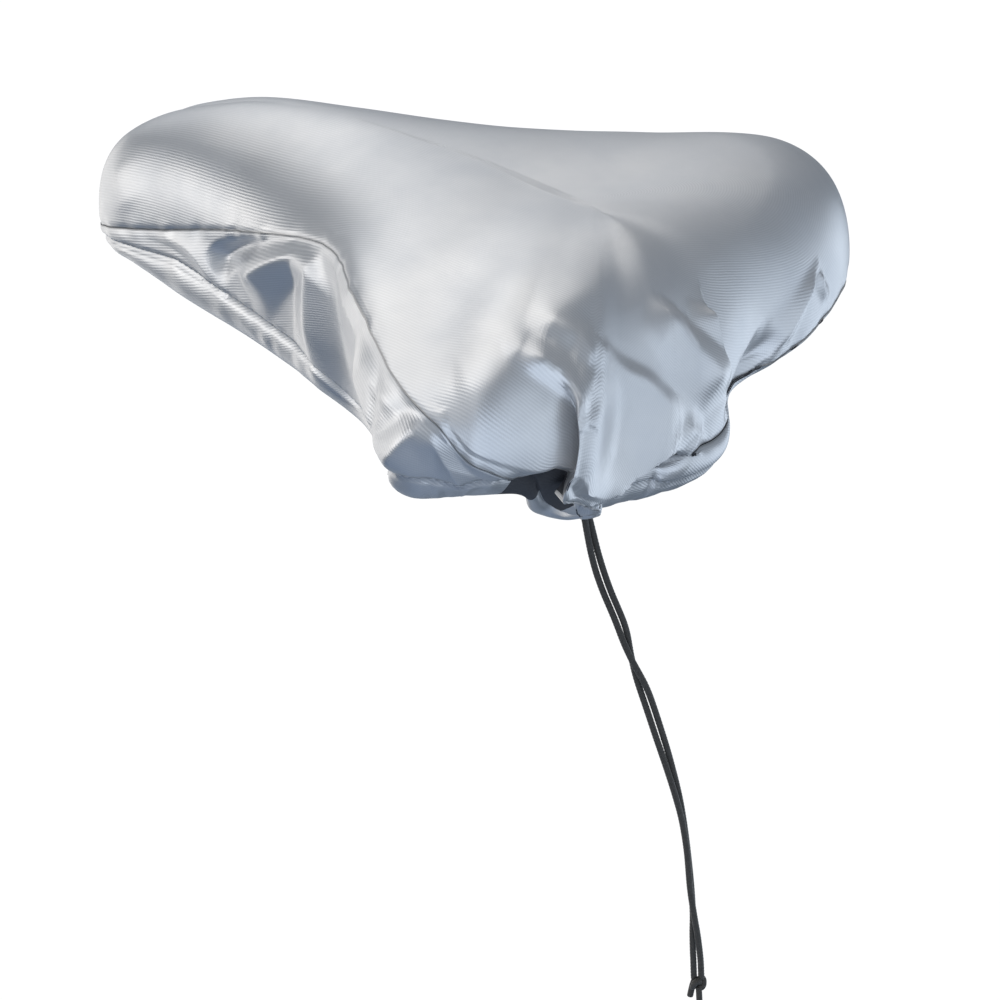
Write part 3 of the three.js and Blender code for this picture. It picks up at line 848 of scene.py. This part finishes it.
def tube_mesh(name, path, radius, sides, braid=0.0):
    """A round tube along a path, with braided relief and a UV map in metres."""
    path = np.asarray(path, dtype=float)
    forward = unit(np.gradient(path, axis=0))
    side = unit(np.cross(forward, (0.0, 1.0, 0.31)))
    up = np.cross(side, forward)
    run = run_of(path, 0)
    turn = np.arange(sides) * 2 * math.pi / sides
    round_way, long_way = BRAID_PLAITS * turn[None], BRAID_TURN * run[:, None]
    crossing = np.cos(round_way + long_way) * np.cos(round_way - long_way)
    reach = radius + braid * crossing
    spoke = np.cos(turn)[None, :, None] * side[:, None] + np.sin(turn)[None, :, None] * up[:, None]
    points = (path[:, None] + reach[..., None] * spoke).reshape(-1, 3)
    steps = len(path)
    index = np.arange(steps * sides).reshape(steps, sides)
    after = np.roll(index, -1, 1)
    faces = np.stack([index[:-1], after[:-1], after[1:], index[1:]], -1).reshape(-1, 4).tolist()
    points = np.vstack([points, path[0], path[-1]])
    first, last = steps * sides, steps * sides + 1
    faces += [[first, int(after[0, k]), int(index[0, k])] for k in range(sides)]
    faces += [[last, int(index[-1, k]), int(after[-1, k])] for k in range(sides)]
    mesh = bpy.data.meshes.new(name)
    mesh.from_pydata((points * MM).tolist(), [], faces)
    spots = np.zeros((len(points), 2))
    spots[:first, 0] = np.tile(turn * radius, steps)
    spots[:first, 1] = np.repeat(run, sides)
    unwrap(mesh, "braid", spots * MM)
    mesh.shade_smooth()
    mesh.validate()
    return mesh


def strand_path(side, steps):
    """The middle line of one strand, which winds about the middle of the pair and runs into the knot."""
    where = np.linspace(0, len(CORD_ROUTE) - 1, steps + 1)
    route = through(CORD_ROUTE, where)
    route[:, 2] -= KNOT_BITE * smooth_step(where - (len(CORD_ROUTE) - 2))
    turn = np.radians(route[:, 3])
    across = np.stack([np.cos(turn), np.sin(turn), np.zeros(len(turn))], -1)
    return route[:, :3] + side * STRAND_OFFSET * across


def knot_path():
    """An overhand knot's loops and its two short ends, below the end of the pair."""
    x, y, z = CORD_ROUTE[-1][:3]
    middle = np.array((x, y, z - KNOT_DROP))
    turn = np.linspace(KNOT_MOUTH, 2 * math.pi - KNOT_MOUTH, KNOT_STEPS)
    loops = np.stack([
        KNOT_SIZE * (np.sin(turn) + 2 * np.sin(2 * turn)),
        KNOT_SIZE * (np.cos(turn) - 2 * np.cos(2 * turn)),
        -KNOT_DEPTH * np.sin(3 * turn)], -1)
    drop = np.linspace(0, 1, KNOT_END_STEPS)[1:, None]
    first_end = loops[0] + drop * (1.4, -0.8, 0.0) - drop ** 1.5 * (0.0, 0.0, KNOT_END)
    last_end = loops[-1] + drop * (-1.6, -0.4, 0.0) - drop ** 1.5 * (0.0, 0.0, 0.8 * KNOT_END)
    return middle + np.concatenate([first_end[::-1], loops, last_end])


# Operators


def view_axes():
    """Directions from the cover to the camera, and to the right and up in its picture."""
    sa, ca = math.sin(VIEW_AZIMUTH), math.cos(VIEW_AZIMUTH)
    se, ce = math.sin(VIEW_ELEVATION), math.cos(VIEW_ELEVATION)
    back = Vector((sa * ce, -ca * ce, se))
    right = Vector((ca, sa, 0))
    return back, right, back.cross(right)


def studio_world():
    """A grey dome with soft panels."""
    world = bpy.data.worlds.new("studio")
    world.use_nodes = True
    tree = world.node_tree
    tree.nodes.clear()
    way = add(tree, "ShaderNodeTexCoord").outputs["Generated"]
    light = add(tree, "ShaderNodeRGB").outputs[0]
    light.default_value = linear(DOME)
    for toward, inner, outer, brightness, colour in PANELS:
        aim = Vector(toward).normalized()
        edge, middle = math.cos(math.radians(outer)), math.cos(math.radians(inner))
        facing = add(tree, "ShaderNodeVectorMath", {
            0: way, 1: aim}, operation="DOT_PRODUCT").outputs["Value"]
        share = remap(tree, facing, (edge, middle), (0.0, brightness), interpolation_type="SMOOTHSTEP")
        panel = mix(tree, 1.0, linear(colour), share, "MULTIPLY")
        light = mix(tree, 1.0, light, panel, "ADD")
    sky = add(tree, "ShaderNodeBackground", {"Color": light, "Strength": 1.0}).outputs[0]
    add(tree, "ShaderNodeOutputWorld", {"Surface": sky})
    return world


class COVER_OT_stage(bpy.types.Operator):
    """Sets up the camera, the floor and the light"""

    bl_idname = "saddle_cover.stage"
    bl_label = "Stage"

    def execute(self, context):
        back, right, up = view_axes()
        camera_data = bpy.data.cameras.new("camera")
        camera_data.lens = VIEW_LENS
        camera_data.sensor_width = 36
        camera = link("camera", camera_data)
        turn = Matrix((right, up, back)).transposed().to_4x4()
        place = back * VIEW_DISTANCE + right * VIEW_RIGHT - up * VIEW_DOWN
        camera.matrix_world = Matrix.Translation(place) @ turn
        context.scene.camera = camera
        context.scene.view_settings.view_transform = "Standard"
        half = FLOOR_SIZE / 2
        mesh = bpy.data.meshes.new("floor")
        corners = ((-half, -half), (half, -half), (half, half), (-half, half))
        mesh.from_pydata([(x, y, -FLOOR_BELOW) for x, y in corners], [], [(0, 1, 2, 3)])
        mesh.materials.append(pale_floor())
        floor = link("floor", mesh)
        floor.visible_diffuse = False
        floor.visible_glossy = False
        context.scene.world = studio_world()
        return {"FINISHED"}


class COVER_OT_cord(bpy.types.Operator):
    """Makes the drawstring's two free strands and the knot that ties them"""

    bl_idname = "saddle_cover.cord"
    bl_label = "Drawstring"

    def execute(self, context):
        sizes, colours = context.scene.saddle_cover_sizes, context.scene.saddle_cover_colours
        braid = braided_cord(colours)
        knot_mesh = tube_mesh("drawstring_knot", knot_path(), KNOT_RADIUS, KNOT_SIDES)
        knot = link("drawstring_knot", knot_mesh)
        knot.data.materials.append(braid)
        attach(knot, "root")
        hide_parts("cord_knot")
        for name, side in (("left", -1), ("right", 1)):
            path = strand_path(side, STRAND_STEPS)
            strand = link(f"drawstring_{name}", tube_mesh(
                f"drawstring_{name}", path, sizes.strand / MM / 2, STRAND_SIDES, braid=BRAID_RELIEF))
            strand.data.materials.append(braid)
            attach(strand, "root")
            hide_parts(f"cord_strand_{name}")
        return {"FINISHED"}


class COVER_OT_top_panel(bpy.types.Operator):
    """Makes the top panel in its drape"""

    bl_idname = "saddle_cover.top_panel"
    bl_label = "Top panel"

    def execute(self, context):
        sizes, colours = context.scene.saddle_cover_sizes, context.scene.saddle_cover_colours
        grid, weave, sewn = top_panel_grid(sizes)
        normals = grid_normals(grid)
        normals[:, 0] = (0, 0, 1)
        none = np.zeros(grid.shape[:2], dtype=bool)
        piece = cloth_mesh("cloth_top_panel", grid, normals, sizes.cloth / MM, weave, sewn, True, none)
        dress_cloth(piece, sizes, colours)
        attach(piece, "root")
        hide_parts("top_panel")
        return {"FINISHED"}


class COVER_OT_skirt(bpy.types.Operator):
    """Makes the skirt with its turned hem channel"""

    bl_idname = "saddle_cover.skirt"
    bl_label = "Skirt"

    def execute(self, context):
        sizes, colours = context.scene.saddle_cover_sizes, context.scene.saddle_cover_colours
        grid, weave, sewn, painted_shade_mask = skirt_grid(sizes)
        normals = grid_normals(grid)
        piece = cloth_mesh("cloth_skirt", grid, normals, sizes.cloth / MM, weave, sewn, False, painted_shade_mask)
        dress_cloth(piece, sizes, colours)
        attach(piece, "root")
        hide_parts("skirt")
        return {"FINISHED"}


def stitch_tree():
    """Lays a stitch at every pitch of a line, turned along it and flat on the cloth."""
    tree = bpy.data.node_groups.new("channel stitches", "GeometryNodeTree")
    for name, kind in (("Line", "Geometry"), ("Pitch", "Float"), ("Stitch", "Float"), ("Thread", "Float"),
                       ("Material", "Material")):
        tree.interface.new_socket(name, in_out="INPUT", socket_type=f"NodeSocket{kind}")
    tree.interface.new_socket("Stitches", in_out="OUTPUT", socket_type="NodeSocketGeometry")
    given = add(tree, "NodeGroupInput").outputs
    line = add(tree, "GeometryNodeMeshToCurve", {"Mesh": given["Line"]}).outputs["Curve"]
    even = add(tree, "GeometryNodeResampleCurve", {
        "Curve": line, "Length": given["Pitch"]}, mode="LENGTH").outputs["Curve"]
    bead = add(tree, "GeometryNodeMeshUVSphere", {"Segments": 8, "Rings": 5, "Radius": 0.5}).outputs["Mesh"]
    size = add(tree, "ShaderNodeCombineXYZ", {
        "X": given["Stitch"], "Y": given["Thread"], "Z": given["Thread"]}).outputs["Vector"]
    shaped = add(tree, "GeometryNodeTransform", {"Geometry": bead, "Scale": size}).outputs["Geometry"]
    along = add(tree, "GeometryNodeInputTangent").outputs["Tangent"]
    out = add(tree, "GeometryNodeInputNamedAttribute", {
        "Name": "outward"}, data_type="FLOAT_VECTOR").outputs["Attribute"]
    aimed = add(tree, "FunctionNodeAlignRotationToVector", {"Vector": along}, axis="X").outputs["Rotation"]
    turned = add(tree, "FunctionNodeAlignRotationToVector", {
        "Rotation": aimed, "Vector": out}, axis="Z", pivot_axis="X").outputs["Rotation"]
    laid = add(tree, "GeometryNodeInstanceOnPoints", {
        "Points": even, "Instance": shaped, "Rotation": turned}).outputs["Instances"]
    real = add(tree, "GeometryNodeRealizeInstances", {"Geometry": laid}).outputs["Geometry"]
    sewn = add(tree, "GeometryNodeSetMaterial", {
        "Geometry": real, "Material": given["Material"]}).outputs["Geometry"]
    add(tree, "NodeGroupOutput", {"Stitches": sewn})
    return tree


def stitch_line(sizes):
    """The line of sewing above the channel, from one side of the gap round to the other."""
    grid, _, _, painted_shade_mask = skirt_grid(sizes)
    normals = grid_normals(grid)
    gap = painted_shade_mask[:, GAP_ROW]
    first = int(np.flatnonzero(gap).max()) + 1
    count = int((~gap).sum())
    columns = (first + np.arange(count)) % len(grid)
    outward_ways = normals[columns, SKIRT_ROWS - 1]
    points = grid[columns, SKIRT_ROWS - 1] + 0.5 * sizes.thread / MM * outward_ways
    mesh = bpy.data.meshes.new("stitch_line")
    mesh.from_pydata((points * MM).tolist(), [(k, k + 1) for k in range(count - 1)], [])
    ways = mesh.attributes.new("outward", "FLOAT_VECTOR", "POINT")
    ways.data.foreach_set("vector", outward_ways.ravel().astype(np.float32))
    return mesh


class COVER_OT_stitches(bpy.types.Operator):
    """Sews the channel's upper edge"""

    bl_idname = "saddle_cover.stitches"
    bl_label = "Stitches"

    def execute(self, context):
        sizes, colours = context.scene.saddle_cover_sizes, context.scene.saddle_cover_colours
        tree = stitch_tree()
        guide = link("stitch_line", stitch_line(sizes))
        sewing = guide.modifiers.new("stitches", "NODES")
        sewing.node_group = tree
        values = {"Pitch": sizes.stitch_pitch, "Stitch": sizes.stitch, "Thread": sizes.thread,
                  "Material": sewing_thread(colours)}
        for socket in tree.interface.items_tree:
            if socket.in_out == "INPUT" and socket.name in values:
                sewing[socket.identifier] = values[socket.name]
        evaluated = guide.evaluated_get(context.evaluated_depsgraph_get())
        mesh = bpy.data.meshes.new_from_object(evaluated)
        guide.modifiers.remove(sewing)
        bpy.data.objects.remove(guide)
        mesh.name = "channel_stitches"
        mesh.shade_smooth()
        piece = link("channel_stitches", mesh)
        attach(piece, "root")
        return {"FINISHED"}


class COVER_PT_panel(bpy.types.Panel):
    """Lists the pieces of the saddle cover"""

    bl_idname = "COVER_PT_panel"
    bl_label = "Saddle cover"
    bl_space_type = "VIEW_3D"
    bl_region_type = "UI"
    bl_category = "Saddle cover"

    def draw(self, context):
        for kind in OPERATORS:
            self.layout.operator(kind.bl_idname)


OPERATORS = (COVER_OT_stage, COVER_OT_cord, COVER_OT_top_panel, COVER_OT_skirt, COVER_OT_stitches)
CLASSES = (CoverSizes, CoverColours) + OPERATORS + (COVER_PT_panel,)


def register():
    """Registers the classes and the sizes and colours."""
    for kind in CLASSES:
        bpy.utils.register_class(kind)
    bpy.types.Scene.saddle_cover_sizes = bpy.props.PointerProperty(type=CoverSizes)
    bpy.types.Scene.saddle_cover_colours = bpy.props.PointerProperty(type=CoverColours)


def unregister():
    """Takes them out again."""
    del bpy.types.Scene.saddle_cover_colours
    del bpy.types.Scene.saddle_cover_sizes
    for kind in reversed(CLASSES):
        bpy.utils.unregister_class(kind)


def main():
    """Makes the cover."""
    register()
    bpy.ops.saddle_cover.stage()
    bpy.ops.saddle_cover.cord()
    bpy.ops.saddle_cover.top_panel()
    bpy.ops.saddle_cover.skirt()
    bpy.ops.saddle_cover.stitches()


if __name__ == "__main__":
    main()
